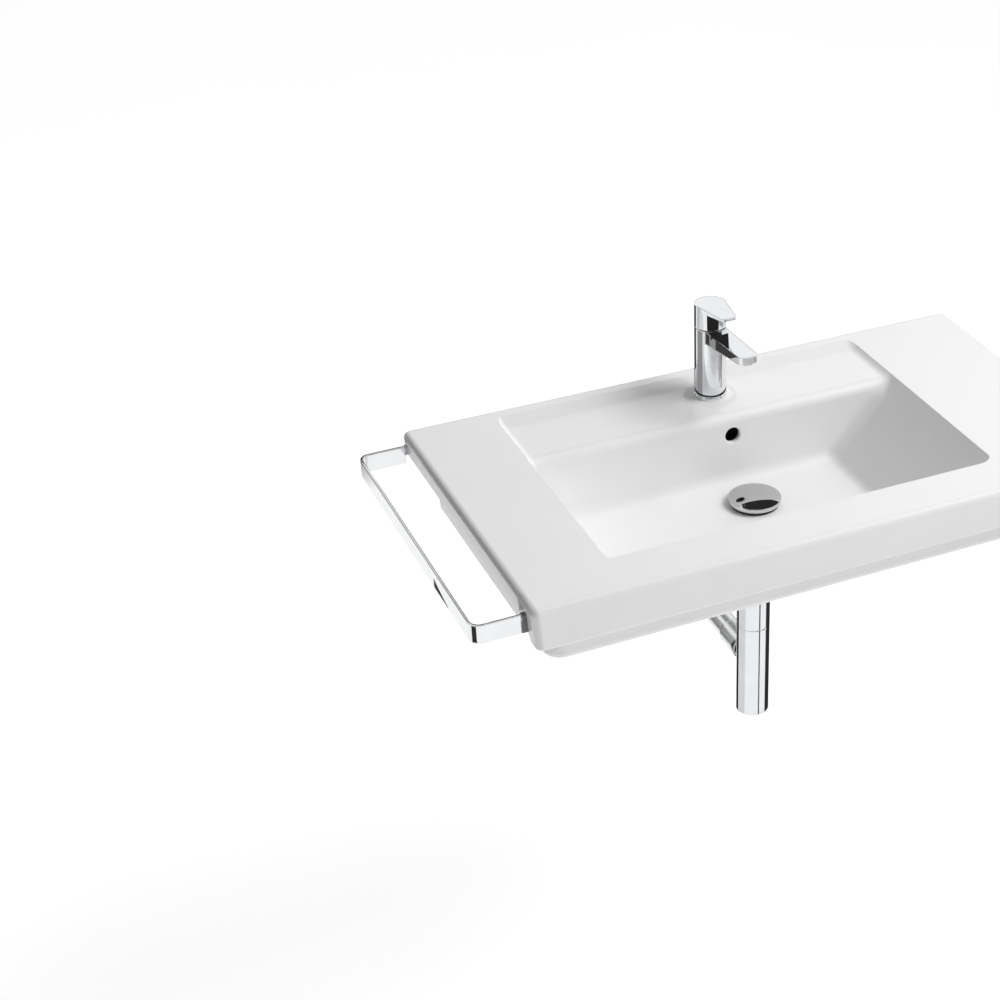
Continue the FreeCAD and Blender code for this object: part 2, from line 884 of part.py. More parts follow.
def tap_clamp():
    """Stud, gasket, plate and nut that pull the tap down onto the deck."""
    y = "-tap_from_wall - stud_front"
    under = "rim_height - deck_thickness"
    plate_low = under + " - clamp_gasket_height - clamp_plate_height"
    gasket = horseshoe("tap_clamp_gasket", "clamp_gasket_height", under + " - clamp_gasket_height")
    plate = horseshoe("tap_clamp_plate", "clamp_plate_height", plate_low)
    web = "base_ring_height + cartridge_seat - tap_web + stud_entry"
    length = f"deck_thickness - wash_drop + stud_below + {web}"
    stud = rod("tap_stud", "stud_radius", length, "0", y, under + " - stud_below")
    hexagon = doc.addObject("Part::Prism", "clamp_nut_blank")
    hexagon.Polygon = 6
    bind(hexagon, Circumradius="clamp_nut_circle", Height="clamp_nut_height")
    put(hexagon, "0", y, plate_low + " - clamp_nut_height")
    bore = rod("clamp_nut_bore", "stud_radius + running", "clamp_nut_height", "0", y, plate_low + " - clamp_nut_height")
    return gasket, plate, stud, cut("tap_clamp_nut", hexagon, bore)


def ports(name, radius, height, z):
    """Tools for the three water ports: cold, hot and outlet."""
    places = (
        ("cold", "port_side", "port_back - tap_from_wall"),
        ("hot", "-port_side", "port_back - tap_from_wall"),
        ("outlet", "0", "-tap_from_wall - outlet_front"),
    )
    return [rod(f"{name}_{port}", radius, height, x, y, z) for port, x, y in places]


def cartridge_pieces():
    """Ceramic disc cartridge, from its base up to the nut that holds it."""
    seal_out = "port_radius + port_seal_width"
    blank = rod("cartridge_base_blank", "cartridge_radius", "cartridge_base_height", "0", tap_y, cartridge)
    base = cut(
        "cartridge_base",
        blank,
        *ports("base_port", "port_radius", "cartridge_base_height", cartridge),
        *ports("base_seat", seal_out + " + slip", "port_seal_height", cartridge),
    )
    seals = []
    places = (
        ("cold", "port_side", "port_back - tap_from_wall"),
        ("hot", "-port_side", "port_back - tap_from_wall"),
        ("outlet", "0", "-tap_from_wall - outlet_front"),
    )
    for port, x, y in places:
        seals.append(ring(f"seal_{port}", "port_radius", seal_out, "port_seal_height", x, y, cartridge))
    disc_z = cartridge + " + cartridge_base_height"
    blank = rod("fixed_disc_blank", "disc_radius", "disc_height", "0", tap_y, disc_z)
    fixed = cut("fixed_disc", blank, *ports("disc_port", "port_radius", "disc_height", disc_z))
    moving_z = disc_z + " + disc_height"
    moving_y = "disc_travel / 2 - tap_from_wall"
    blank = rod("moving_disc_blank", "moving_radius", "disc_height", "0", moving_y, moving_z)
    pocket = rod("mixing_pocket", "mixing_radius", "mixing_depth", "0", moving_y, moving_z)
    moving = cut("moving_disc", blank, pocket)
    carrier_z = moving_z + " + disc_height"
    blank = rod("carrier_blank", "moving_radius", "carrier_height", "0", moving_y, carrier_z)
    slot = block(
        "peg_slot_tool",
        "peg_width + 2 * play",
        "peg_slot",
        "carrier_height",
        "-peg_width / 2 - play",
        pivot_y + " - peg_slot / 2",
        carrier_z + " + carrier_floor",
    )
    carrier = cut("disc_carrier", blank, slot)
    neck_hole = "guide_neck + play"
    shoulder = "housing_height - housing_lip"
    housing = turned(
        "cartridge_housing",
        [
            ("housing_bore", "0"),
            ("cartridge_radius", "0"),
            ("cartridge_radius", "housing_height"),
            (neck_hole, "housing_height"),
            (neck_hole, shoulder),
            ("housing_bore", shoulder),
        ],
        "0",
        tap_y,
        disc_z,
    )
    guide_z = carrier_z + " + carrier_height + play"
    flange = "housing_height - housing_lip - 2 * disc_height - carrier_height - 2 * play"
    guide_blank = turned(
        "guide_blank",
        [
            ("0", "0"),
            ("housing_bore - running", "0"),
            ("housing_bore - running", flange),
            ("guide_neck", flange),
            ("guide_neck", flange + " + guide_neck_height"),
            ("0", flange + " + guide_neck_height"),
        ],
        "0",
        tap_y,
        guide_z,
    )
    slot = block(
        "guide_slot",
        "spindle_width + 2 * play",
        "guide_slot_front + guide_slot_rear",
        "housing_height + guide_neck_height",
        "-spindle_width / 2 - play",
        pivot_y + " - guide_slot_front",
        guide_z,
    )
    pin_x = "-pin_length / 2"
    pin_hole = rod("guide_pin_hole", "pin_radius + slip / 2", "pin_length", pin_x, pivot_y, pivot_z, along_x)
    guide = cut("swivel_guide", guide_blank, slot, pin_hole)
    pin = rod("pivot_pin", "pin_radius", "pin_length", pin_x, pivot_y, pivot_z, along_x)
    nut = ring(
        "cartridge_nut",
        "guide_neck + 2 * play",
        "tap_bore - slip",
        "cartridge_nut_height",
        "0",
        tap_y,
        disc_z + " + housing_height",
    )
    return base, group("cartridge_seals", *seals), fixed, moving, carrier, housing, guide, pin, nut


def spindle():
    """Lever spindle: square shank above the pivot, peg below it."""
    shank = block(
        "spindle_shank",
        "spindle_width",
        "spindle_thickness",
        "spindle_above + spindle_below",
        "-spindle_width / 2",
        pivot_y + " - spindle_thickness / 2",
        pivot_z + " - spindle_below",
    )
    peg = block(
        "spindle_peg",
        "peg_width",
        "peg_width",
        "peg_below",
        "-peg_width / 2",
        pivot_y + " - peg_width / 2",
        pivot_z + " - peg_below",
    )
    hole = rod(
        "spindle_hole",
        "pin_radius + running",
        "spindle_width",
        "-spindle_width / 2",
        pivot_y,
        pivot_z,
        along_x,
    )
    return cut("spindle", join("spindle_full", shank, peg), hole)


def lever():
    """Handle cup with its flat paddle and socket, and the screw and cap at its back."""
    bottom = tap_top + " + seam_gap"
    roof = "handle_height - handle_roof"
    cup = turned(
        "handle_cup",
        [
            ("handle_bore", "0"),
            ("tap_radius", "0"),
            ("tap_radius", "handle_height"),
            ("0", "handle_height"),
            ("0", roof),
            ("handle_bore", roof),
        ],
        "0",
        tap_y,
        bottom,
    )
    raw = doc.addObject("Part::Wedge", "paddle_raw")
    bind(
        raw,
        Xmin="-lever_root_half",
        Xmax="lever_root_half",
        X2min="-lever_tip_half",
        X2max="lever_tip_half",
        Ymin="0",
        Ymax="lever_reach",
        Zmin="handle_height - lever_root",
        Zmax="handle_height",
        Z2min="handle_height + lever_rise - lever_tip",
        Z2max="handle_height + lever_rise",
    )
    put(raw, "0", tap_y, bottom, forward)
    tip = at(y="-tap_from_wall - lever_reach")
    half = number("lever_tip_half")
    beside = lambda spot: tip(spot) and abs(abs(spot.x) - half) < reach
    paddle = rounded("paddle", raw, (beside, "lever_tip_round"))
    socket = block(
        "socket",
        "socket_width",
        "socket_thickness",
        "handle_height - handle_roof - socket_lift",
        "-socket_width / 2",
        pivot_y + " - socket_thickness / 2",
        bottom + " + socket_lift",
    )
    full = join("handle_full", cup, paddle, socket)
    socket_hole = block(
        "socket_hole",
        "spindle_width + slip",
        "spindle_thickness + slip",
        "spindle_above + spindle_below",
        "-spindle_width / 2 - slip / 2",
        pivot_y + " - spindle_thickness / 2 - slip / 2",
        pivot_z + " - spindle_below",
    )
    bevel = block(
        "rear_bevel",
        "4 * tap_radius",
        "2 * tap_radius",
        "tap_radius",
        "-2 * tap_radius",
        pivot_y,
        bottom,
        Rotation(Vector(1, 0, 0), number("rear_bevel_angle")),
    )
    bevel.setExpression("Placement.Base.y", formula(pivot_y + " + tap_radius * sin(rear_bevel_angle)"))
    bevel.setExpression("Placement.Base.z", formula(bottom + " - tap_radius * cos(rear_bevel_angle)"))
    grub_z = pivot_z + " + grub_lift"
    grub_y = pivot_y + " + spindle_thickness / 2"
    screw_hole = rod("grub_hole", "grub_radius + running", "socket_thickness", "0", grub_y, grub_z, along_y)
    cap_y = "handle_bore - cap_radius - tap_from_wall"
    cap_length = "2 * tap_radius - handle_bore"
    cap_hole = rod("cap_hole", "cap_radius + slip", cap_length, "0", cap_y, grub_z, along_y)
    handle = cut("lever_handle", full, socket_hole, bevel, screw_hole, cap_hole)
    grub = rod("lever_grub_screw", "grub_radius", "grub_length", "0", grub_y, grub_z, along_y)
    column = rod("cap_column", "tap_radius", "handle_height", "0", tap_y, bottom)
    hollow = rod("cap_hollow", "handle_bore", "handle_height", "0", tap_y, bottom)
    wall = cut("cap_wall", column, hollow)
    pin = rod("cap_pin", "cap_radius", "tap_radius", "0", "handle_bore / 2 - tap_from_wall", grub_z, along_y)
    cap = common("lever_screw_cap", pin, wall)
    return handle, grub, cap


def aerator():
    """Washer, sleeve and jet insert in the spout's mouth."""
    y = "-tap_from_wall - aerator_reach"
    top = tap_top + " + mouth_rise - mouth_chamber"
    outer = "aerator_bore - slip"
    washer_z = top + " - aerator_washer_height"
    washer = ring("aerator_washer", "aerator_washer_in", outer, "aerator_washer_height", "0", y, washer_z)
    sleeve_z = washer_z + " - aerator_height"
    inner = outer + " - aerator_wall"
    lip = inner + " - aerator_lip"
    sleeve = turned(
        "aerator_housing",
        [
            (lip, "0"),
            (outer, "0"),
            (outer, "aerator_height"),
            (inner, "aerator_height"),
            (inner, "aerator_lip"),
            (lip, "aerator_lip"),
        ],
        "0",
        y,
        sleeve_z,
    )
    insert_z = sleeve_z + " + aerator_lip"
    height = "aerator_height - aerator_lip"
    blank = rod("insert_blank", inner + " - slip", height, "0", y, insert_z)
    jets = [rod("jet_middle", "jet_radius", height, "0", y, insert_z)]
    for index in range(6):
        turn = 60 * index
        x = f"jet_circle * {math.cos(math.radians(turn)):.6f}"
        side = f"{y} + jet_circle * {math.sin(math.radians(turn)):.6f}"
        jets.append(rod(f"jet_{index}", "jet_radius", height, x, side, insert_z))
    return washer, sleeve, cut("aerator_insert", blank, *jets)


def waste():
    """Push waste: flanged body, seals, nut, stem guide, stem, spring and domed cover."""
    seal = ring(
        "flange_seal",
        "flange_seal_in",
        "flange_seal_out",
        "flange_seal_height",
        "0",
        drain_y,
        bowl_floor,
    )
    under = "waste_tail + flange_seal_height"
    top = under + " + flange_height"
    blank = turned(
        "waste_blank",
        [
            ("waste_bore", "0"),
            ("waste_radius", "0"),
            ("waste_radius", under),
            ("flange_radius", under),
            ("flange_radius", top),
            ("waste_bore", top),
        ],
        "0",
        drain_y,
        tail_bottom,
    )
    slot = block(
        "overflow_slot",
        "slot_width",
        "4 * waste_radius",
        "passage_height",
        "-slot_width / 2",
        drain_y + " - 2 * waste_radius",
        boss_bottom + " + passage_wall",
    )
    body = cut("waste_body", blank, slot)
    lower_z = boss_bottom + " - lower_seal_height"
    inner = "waste_radius + slip"
    lower = turned(
        "lower_seal",
        [
            (inner, "0"),
            ("lower_seal_small", "0"),
            ("lower_seal_large", "lower_seal_height"),
            (inner, "lower_seal_height"),
        ],
        "0",
        drain_y,
        lower_z,
    )
    nut_z = lower_z + " - waste_nut_height"
    hexagon = doc.addObject("Part::Prism", "waste_nut_blank")
    hexagon.Polygon = 6
    bind(hexagon, Circumradius="waste_nut_circle", Height="waste_nut_height")
    put(hexagon, "0", drain_y, nut_z)
    nut = cut("waste_nut", hexagon, rod("waste_nut_bore", inner, "waste_nut_height", "0", drain_y, nut_z))
    guide_z = bowl_floor + " - guide_drop"
    hub = rod("guide_hub_rod", "guide_hub", "guide_height", "0", drain_y, guide_z)
    outer = "waste_bore - slip"
    rim = ring("guide_rim", outer + " - guide_ring_wall", outer, "guide_height", "0", drain_y, guide_z)
    spokes = []
    for index in range(3):
        spoke = block(f"spoke_{index}", outer + " - guide_ring_wall / 2", "spoke_width", "guide_height")
        angle = 90 + 120 * index
        half_x = f"{math.sin(math.radians(angle)):.6f} * spoke_width / 2"
        half_y = f"{math.cos(math.radians(angle)):.6f} * spoke_width / 2"
        put(spoke, half_x, f"{drain_y} - {half_y}", guide_z, Rotation(Vector(0, 0, 1), angle))
        spokes.append(spoke)
    guide_full = join("stem_guide_full", hub, rim, *spokes)
    bore = rod("stem_bore", "stem_radius + running", "guide_height", "0", drain_y, guide_z)
    guide = cut("stem_guide", guide_full, bore)
    ceiling = "cover_ceiling + cover_gap"
    collar = "guide_drop - collar_drop + stem_tail"
    stem_top = f"guide_drop + stem_tail + {ceiling}"
    stem = turned(
        "plug_stem",
        [
            ("0", "0"),
            ("stem_radius", "0"),
            ("stem_radius", collar),
            ("collar_radius", collar),
            ("collar_radius", collar + " + collar_height"),
            ("stem_radius", collar + " + collar_height"),
            ("stem_radius", stem_top),
            ("0", stem_top),
        ],
        "0",
        drain_y,
        guide_z + " - stem_tail",
    )
    return seal, body, lower, nut, guide, stem


def waste_cover():
    """Domed cover with a short skirt, and the seal ring under it."""
    edge = "cover_gap + cover_edge"
    blank = rod("cover_blank", "cover_radius", "cover_edge + cover_crown", "0", drain_y, cover_bottom)
    ball = doc.addObject("Part::Sphere", "cover_ball")
    bend = "(cover_radius ^ 2 + cover_crown ^ 2) / (2 * cover_crown)"
    bind(ball, Radius=bend)
    put(ball, "0", drain_y, f"{bowl_floor} + {edge} + cover_crown - {bend}")
    dome = common("cover_dome", blank, ball)
    hollow = rod("cover_hollow", "cover_radius - cover_skirt", "cover_ceiling", "0", drain_y, cover_bottom)
    cover = cut("waste_cover", dome, hollow)
    seal = ring(
        "cover_seal",
        "cover_seal_in",
        "cover_seal_out",
        "cover_seal_height",
        "0",
        drain_y,
        cover_bottom + " + cover_ceiling - cover_seal_height",
    )
    return cover, seal


def plug_spring():
    """Coil spring round the stem, between the guide's hub and the stem's collar."""
    low = number(bowl_floor + " - guide_drop + guide_height")
    high = number(bowl_floor + " - collar_drop")
    wire = number("spring_wire")
    coil = number("spring_radius")
    turns = number("spring_turns")
    pitch = (high - low - 2 * wire) / turns
    path = Part.makeHelix(pitch, high - low - 2 * wire, coil)
    start = Vector(coil, 0, 0)
    heading = Vector(0, 2 * math.pi * coil, pitch)
    profile = Part.Wire(Part.makeCircle(wire, start, heading))
    coil_shape = Part.Wire(path.Edges).makePipeShell([profile], True, True)
    thing = doc.addObject("Part::Feature", "plug_spring")
    thing.Shape = coil_shape
    thing.Placement = Placement(Vector(0, number(drain_y), low + wire), upright)
    return thing


def trap():
    """Bottle trap: inlet nut and dip tube, upper sleeve, body with side branch, cleaning plug."""
    inlet = "dip_radius + slip"
    thread = "waste_radius + slip"
    nut = turned(
        "trap_inlet_nut",
        [
            (inlet, "0"),
            ("inlet_nut_radius", "0"),
            ("inlet_nut_radius", "inlet_nut_height"),
            (thread, "inlet_nut_height"),
            (thread, "nut_lip"),
            (inlet, "nut_lip"),
        ],
        "0",
        drain_y,
        nut_bottom,
    )
    seal_z = tail_bottom + " - inlet_seal_height"
    seal = ring("trap_inlet_seal", "waste_bore", "dip_flange", "inlet_seal_height", "0", drain_y, seal_z)
    tube_low = trap_bottom + " + dip_clearance"
    length = "trap_seam_drop + trap_length - dip_clearance - bowl_depth - waste_tail - inlet_seal_height"
    tube = turned(
        "trap_dip_tube",
        [
            ("dip_bore", "0"),
            ("dip_radius", "0"),
            ("dip_radius", length + " - dip_flange_height"),
            ("dip_flange", length + " - dip_flange_height"),
            ("dip_flange", length),
            ("dip_bore", length),
        ],
        "0",
        drain_y,
        tube_low,
    )
    sleeve_length = "trap_seam_drop - bowl_depth - waste_tail - inlet_seal_height - dip_flange_height - nut_lip"
    inner = "spigot_radius + slip"
    sleeve = turned(
        "trap_upper_sleeve",
        [
            (inner, "0"),
            ("trap_radius - seam_bevel", "0"),
            ("trap_radius", "seam_bevel"),
            ("trap_radius", sleeve_length),
            (inner, sleeve_length),
        ],
        "0",
        drain_y,
        seam,
    )
    shoulder = "trap_length"
    seat = "plug_head + plug_seal_height"
    body_turned = turned(
        "trap_turned",
        [
            ("plug_radius + slip", "0"),
            ("trap_radius - trap_foot", "0"),
            ("trap_radius", "trap_foot"),
            ("trap_radius", shoulder + " - seam_bevel"),
            ("trap_radius - seam_bevel", shoulder),
            ("spigot_radius", shoulder),
            ("spigot_radius", shoulder + " + spigot_height"),
            ("neck_bore", shoulder + " + spigot_height"),
            ("neck_bore", shoulder + " - neck_depth"),
            ("trap_bore", shoulder + " - neck_depth"),
            ("trap_bore", "trap_floor"),
            ("plug_thread + slip", "trap_floor"),
            ("plug_thread + slip", seat),
            ("plug_radius + slip", seat),
        ],
        "0",
        drain_y,
        trap_bottom,
    )
    branch = rod("branch", "branch_radius", branch_end, "0", drain_y, arm_z, along_y)
    full = join("trap_full", body_turned, branch)
    way = rod("branch_way", "pipe_radius + slip", branch_end, "0", drain_y, arm_z, along_y)
    hollow = rod(
        "trap_hollow",
        "trap_bore",
        shoulder + " - neck_depth - trap_floor",
        "0",
        drain_y,
        trap_bottom + " + trap_floor",
    )
    body = cut("trap_body", full, way, hollow)
    neck = ring(
        "trap_neck_seal",
        "dip_radius + slip / 2",
        "neck_bore - slip / 2",
        "neck_seal_height",
        "0",
        drain_y,
        seam + " - neck_depth + neck_seal_lift",
    )
    plug_blank = turned(
        "plug_blank",
        [
            ("0", "0"),
            ("plug_radius", "0"),
            ("plug_radius", "plug_head"),
            ("plug_thread", "plug_head"),
            ("plug_thread", "trap_floor + plug_over"),
            ("0", "trap_floor + plug_over"),
        ],
        "0",
        drain_y,
        trap_bottom,
    )
    coin = block(
        "coin_slot",
        "2 * plug_radius",
        "coin_slot_width",
        "coin_slot_depth",
        "-plug_radius",
        drain_y + " - coin_slot_width / 2",
        trap_bottom,
    )
    plug = cut("trap_plug", plug_blank, coin)
    plug_seal = ring(
        "trap_plug_seal",
        "plug_thread + slip",
        "plug_radius",
        "plug_seal_height",
        "0",
        drain_y,
        trap_bottom + " + plug_head",
    )
    return nut, seal, tube, sleeve, body, neck, plug, plug_seal


def outlet_arm():
    """Arm to the wall: sleeve nut and seal on the branch, pipe and wall rosette."""
    thread = "branch_radius + slip"
    hole = "pipe_radius + slip"
    end = "outlet_nut_length"
    nut = turned(
        "outlet_nut",
        [
            (thread, "0"),
            ("outlet_nut_radius", "0"),
            ("outlet_nut_radius", end + " - outlet_nut_bevel"),
            ("outlet_nut_radius - outlet_nut_bevel / 2", end),
            (hole, end),
            (hole, end + " - nut_lip"),
            (thread, end + " - nut_lip"),
        ],
        "0",
        nut_start,
        arm_z,
        along_y,
    )
    seal = ring(
        "outlet_seal",
        hole,
        "branch_radius",
        "outlet_seal_length",
        "0",
        f"{branch_end} - drain_from_wall",
        arm_z,
        along_y,
    )
    pipe_y = "pipe_entry - drain_from_wall"
    length = "drain_from_wall - pipe_entry + wall_insert"
    step = "drain_from_wall - pipe_entry + spigot_start"
    pipe = turned(
        "outlet_pipe",
        [
            ("pipe_bore", "0"),
            ("pipe_radius", "0"),
            ("pipe_radius", step),
            ("pipe_radius - spigot_step", step),
            ("pipe_radius - spigot_step", length),
            ("pipe_bore", length),
        ],
        "0",
        pipe_y,
        arm_z,
        along_y,
    )
    rosette = turned(
        "wall_rosette",
        [
            (hole, "0"),
            ("pipe_radius + rosette_collar", "0"),
            ("rosette_radius", "rosette_depth - rosette_edge"),
            ("rosette_radius", "rosette_depth"),
            (hole, "rosette_depth"),
        ],
        "0",
        "-rosette_depth",
        arm_z,
        along_y,
    )
    return nut, seal, pipe, rosette


def towel_rail(top_slab):
    """Flat-bar rail round the left end, with pads, studs and plugs in the basin's side."""
    low = "rim_height - rail_drop - rail_height"
    outer_raw = block(
        "rail_outer_raw",
        "rail_leg",
        "rail_front - rail_rear",
        "rail_height",
        rail_out,
        "-rail_front",
        low,
    )
    front = at(x=rail_out, y="-rail_front")
    rear = at(x=rail_out, y="-rail_rear")
    outer = rounded("rail_outer", outer_raw, (front, "rail_corner"), (rear, "rail_corner"))
    inner_raw = block(
        "rail_inner_raw",
        "rail_leg",
        "rail_front - rail_rear - 2 * rail_thickness",
        "rail_height",
        rail_out + " + rail_thickness",
        "rail_thickness - rail_front",
        low,
    )
    front = at(x=rail_out + " + rail_thickness", y="rail_thickness - rail_front")
    rear = at(x=rail_out + " + rail_thickness", y="-rail_rear - rail_thickness")
    inner_round = "rail_corner - rail_thickness"
    inner = rounded("rail_inner", inner_raw, (front, inner_round), (rear, inner_round))
    gain = "pad_reach - rear_pad_reach"
    rear_y = "-rail_rear - rail_thickness"
    longer = block("rail_rear_end", gain, "rail_thickness", "rail_height", rail_end, rear_y, low)
    bar = join("rail_bar", cut("rail_bend", outer, inner), longer)
    upper = at(z="rim_height - rail_drop")
    lower = at(z=low)
    front_end = at(x=rail_end)
    rear_end = at(x=rail_rear_end)

    def on_ends(spot):
        return front_end(spot) or rear_end(spot)

    rail = rounded("towel_rail", bar, (upper, "rail_edge"), (lower, "rail_edge"), sharp=on_ends)
    pads = []
    studs = []
    plugs = []
    ends = (
        ("front", "pad_reach", rail_end, low),
        ("rear", "rear_pad_reach", rail_rear_end, "rim_height - rear_skirt_height"),
    )
    for end, reach_out, start, foot in ends:
        y = rail_y(end)
        pad_raw = block(
            f"pad_raw_{end}",
            f"{reach_out} + side_taper",
            "pad_width",
            f"rim_height - rail_drop - ({foot})",
            start,
            f"{y} - pad_width / 2",
            foot,
        )
        edge_front = at(y=f"{y} - pad_width / 2", z=foot)
        edge_rear = at(y=f"{y} + pad_width / 2", z=foot)
        pad = rounded(f"pad_{end}", pad_raw, (edge_front, "pad_round"), (edge_rear, "pad_round"))
        radius = "rail_stud_radius + running"
        stud_length = f"rail_stud_length - pad_reach + {reach_out}"
        hole = rod(f"pad_hole_{end}", radius, stud_length, start, y, rail_mid, along_x)
        pads.append(cut(f"rail_pad_{end}", pad, top_slab, hole))
        studs.append(rod(f"rail_stud_{end}", "rail_stud_radius", stud_length, start, y, rail_mid, along_x))
        plugs.append(
            ring(
                f"rail_plug_{end}",
                radius,
                "rail_plug_radius - running",
                "rail_plug_length",
                "side_taper + rail_plug_inset - basin_left",
                y,
                rail_mid,
                along_x,
            )
        )
    return rail, group("rail_pads", *pads), group("rail_studs", *studs), group("rail_plugs", *plugs)


# Every piece of the washbasin
slab_solid = slab()
pieces = [basin(slab_solid), fixing_bushes()]
pieces += [*tap_base_pieces(), tap_body(), *tap_clamp(), *cartridge_pieces(), spindle(), *lever(), *aerator()]
pieces += [*waste(), *waste_cover(), plug_spring()]
pieces += [*trap(), *outlet_arm()]
pieces += [*towel_rail(slab_solid)]
doc.recompute()

# No object may have failed before anything is written
for thing in doc.Objects:
    if "Invalid" in thing.State or "Error" in thing.State:
        raise RuntimeError(f"{thing.Label} failed: {thing.State}")
for piece in pieces:
    shape = piece.Shape
    if shape.isNull() or not shape.isValid() or not shape.Solids:
        raise RuntimeError(f"{piece.Label} has no valid solid")
os.makedirs("parts", exist_ok=True)
for piece in pieces:
    piece.Shape.exportStep(f"parts/{piece.Label}.step")
    print(piece.Label, len(piece.Shape.Solids), round(piece.Shape.Volume, 1))
print(len(pieces), "pieces")
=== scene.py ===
import json
import math

import bpy
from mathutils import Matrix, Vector

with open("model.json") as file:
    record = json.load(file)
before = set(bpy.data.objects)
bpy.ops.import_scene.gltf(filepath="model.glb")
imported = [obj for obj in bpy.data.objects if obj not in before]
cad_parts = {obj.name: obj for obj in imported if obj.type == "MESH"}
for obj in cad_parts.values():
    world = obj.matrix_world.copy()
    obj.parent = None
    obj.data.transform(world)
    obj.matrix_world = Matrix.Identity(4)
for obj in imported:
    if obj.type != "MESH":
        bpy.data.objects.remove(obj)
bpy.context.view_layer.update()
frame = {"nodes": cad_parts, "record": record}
nodes = frame["nodes"]
print("frame loaded:", len(nodes), "pieces")

# node helpers
noiseBand = (0.3, 0.7)  # where most of a noise's values lie


def startMaterial(name):
    material = bpy.data.materials.new(name)
    material.use_nodes = True
    tree = material.node_tree
    return material, tree, tree.nodes["Principled BSDF"]


def addNode(tree, kind, **settings):
    node = tree.nodes.new(kind)
    for key, value in settings.items():
        if key in node.inputs.keys():
            node.inputs[key].default_value = value
        else:
            setattr(node, key, value)
    return node


def combine(tree, operation, first, second):
    node = addNode(tree, "ShaderNodeMath", operation=operation)
    tree.links.new(first, node.inputs[0])
    tree.links.new(second, node.inputs[1])
    return node.outputs[0]


def onVector(tree, operation, source, other=None):
    node = addNode(tree, "ShaderNodeVectorMath", operation=operation)
    tree.links.new(source, node.inputs[0])
    if other is not None:
        node.inputs[1].default_value = other
    return node


def splitSides(tree, source):
    sides = addNode(tree, "ShaderNodeSeparateXYZ")
    tree.links.new(source, sides.inputs[0])
    return sides.outputs


def noiseAt(tree, scale, detail, stretch=(1, 1, 1)):
    place = addNode(tree, "ShaderNodeTexCoord")
    mapping = addNode(tree, "ShaderNodeMapping", Scale=stretch)
    noise = addNode(tree, "ShaderNodeTexNoise", Scale=scale, Detail=detail)
    tree.links.new(place.outputs["Object"], mapping.inputs["Vector"])
    tree.links.new(mapping.outputs["Vector"], noise.inputs["Vector"])
    return noise.outputs["Fac"]


def spread(tree, source, low, high, band=noiseBand):
    rangeNode = addNode(tree, "ShaderNodeMapRange")
    for key, value in zip(("From Min", "From Max", "To Min", "To Max"), (*band, low, high)):
        rangeNode.inputs[key].default_value = value
    tree.links.new(source, rangeNode.inputs["Value"])
    return rangeNode.outputs["Result"]


def tint(tree, source, look):
    ramp = addNode(tree, "ShaderNodeValToRGB")
    for index, tone in enumerate(("dark", "light")):
        stop = ramp.color_ramp.elements[index]
        stop.position = noiseBand[index]
        stop.color = (*look[tone], 1)
    tree.links.new(source, ramp.inputs["Fac"])
    return ramp.outputs["Color"]


def dent(tree, shader, source, strength, depth):
    bump = addNode(tree, "ShaderNodeBump", Strength=strength, Distance=depth)
    tree.links.new(source, bump.inputs["Height"])
    tree.links.new(bump.outputs["Normal"], shader.inputs["Normal"])


def dress(tree, shader, colour, rough):
    tree.links.new(colour, shader.inputs["Base Color"])
    tree.links.new(rough, shader.inputs["Roughness"])


# glazed ceramic: slow colour drift, fine gloss changes and a wavy glaze
# the overflow passage behind its round hole is painted dark: painted shade in the recess
glazeLook = {
    "dark": (0.90, 0.90, 0.90),
    "light": (0.92, 0.92, 0.92),
    "drift": {"scale": 9.0, "detail": 4.0},
    "rough": (0.16, 0.24),
    "fine": {"scale": 160.0, "detail": 2.0},
    "wave": {"scale": 14.0, "detail": 1.0},
    "waveStrength": 0.35,
    "waveDepth": 0.0006,
    "specular": 0.5,
    "ior": 1.5,
    # painted shade: the dark tone of the overflow passage, in a box given by its middle and half sizes
    "paintedShade": (0.035, 0.034, 0.033),
    "paintedShadeMiddle": (0, -0.126, -0.033),
    "paintedShadeHalf": (0.0125, 0.0105, 0.0725),
    "paintedShadeBand": (0.98, 1.0),
}


# box round the overflow passage that takes the painted shade
def paintedShadeMask(tree):
    place = addNode(tree, "ShaderNodeTexCoord")
    shifted = onVector(tree, "SUBTRACT", place.outputs["Object"], glazeLook["paintedShadeMiddle"])
    scaled = onVector(tree, "DIVIDE", shifted.outputs[0], glazeLook["paintedShadeHalf"])
    sides = splitSides(tree, onVector(tree, "ABSOLUTE", scaled.outputs[0]).outputs[0])
    most = sides["X"]
    for axis in "YZ":
        most = combine(tree, "MAXIMUM", most, sides[axis])
    return spread(tree, most, 1.0, 0.0, glazeLook["paintedShadeBand"])


def makeGlaze():
    material, tree, shader = startMaterial("whiteGlaze")
    mix = addNode(tree, "ShaderNodeMixRGB", Color2=(*glazeLook["paintedShade"], 1))
    tree.links.new(paintedShadeMask(tree), mix.inputs["Fac"])
    tree.links.new(tint(tree, noiseAt(tree, **glazeLook["drift"]), glazeLook), mix.inputs["Color1"])
    rough = spread(tree, noiseAt(tree, **glazeLook["fine"]), *glazeLook["rough"])
    dress(tree, shader, mix.outputs["Color"], rough)
    wave = noiseAt(tree, **glazeLook["wave"])
    dent(tree, shader, wave, glazeLook["waveStrength"], glazeLook["waveDepth"])
    shader.inputs["Specular IOR Level"].default_value = glazeLook["specular"]
    shader.inputs["IOR"].default_value = glazeLook["ior"]
    return material
